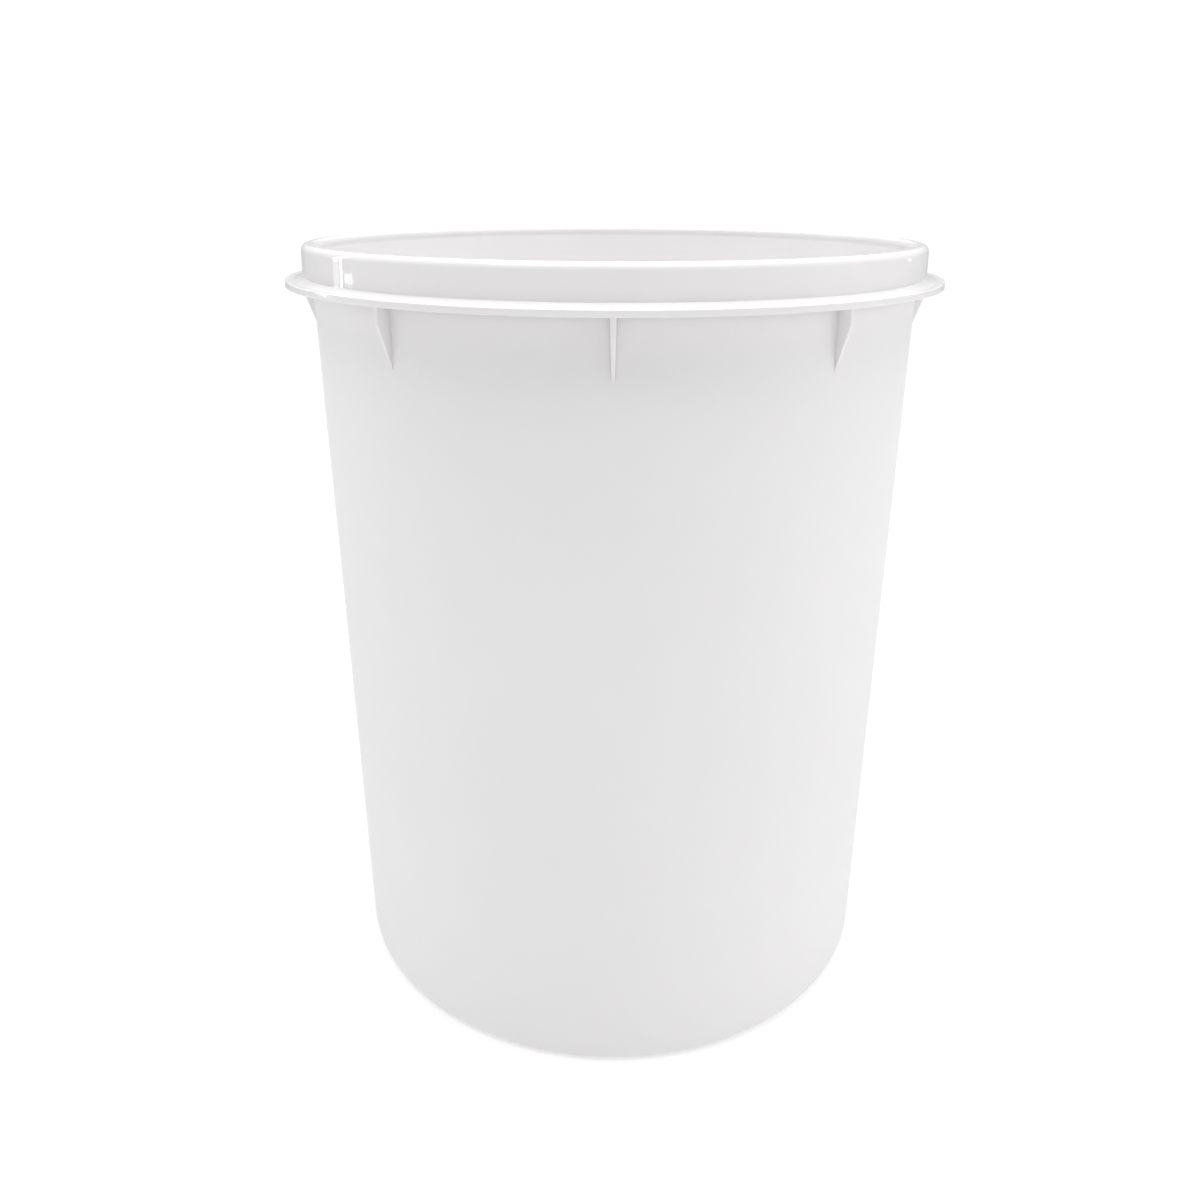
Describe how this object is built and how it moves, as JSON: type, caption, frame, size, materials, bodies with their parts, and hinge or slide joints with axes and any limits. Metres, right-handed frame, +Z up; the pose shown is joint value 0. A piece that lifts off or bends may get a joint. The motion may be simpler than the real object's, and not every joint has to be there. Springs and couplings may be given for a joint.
{
  "type": "plastic fermenting bucket",
  "caption": "Open tapered white plastic fermenting bucket with a collar for its lid, a stop flange and small gussets under the flange.",
  "frame": {"origin": "centre of the base, at the surface that the bucket stands on", "axes": "+Z up along the bucket's axis, -Y towards the front gusset, +X to the right seen from the front"},
  "size_m": [0.352, 0.352, 0.407],
  "materials": {
    "satin_plastic": "satin white polyethylene with a fine moulded grain",
    "gloss_plastic": "glossy white polyethylene"
  },
  "bodies": {
    "root": {"side_wall": "satin_plastic", "foot_ring": "satin_plastic", "base_floor": "satin_plastic", "gusset_front": "satin_plastic", "gusset_front_right": "satin_plastic", "gusset_right": "satin_plastic", "gusset_back_right": "satin_plastic", "gusset_back": "satin_plastic", "gusset_back_left": "satin_plastic", "gusset_left": "satin_plastic", "gusset_front_left": "satin_plastic", "rim_lip": "gloss_plastic", "lid_collar": "gloss_plastic", "stop_flange": "gloss_plastic"}
  },
  "joints": []
}
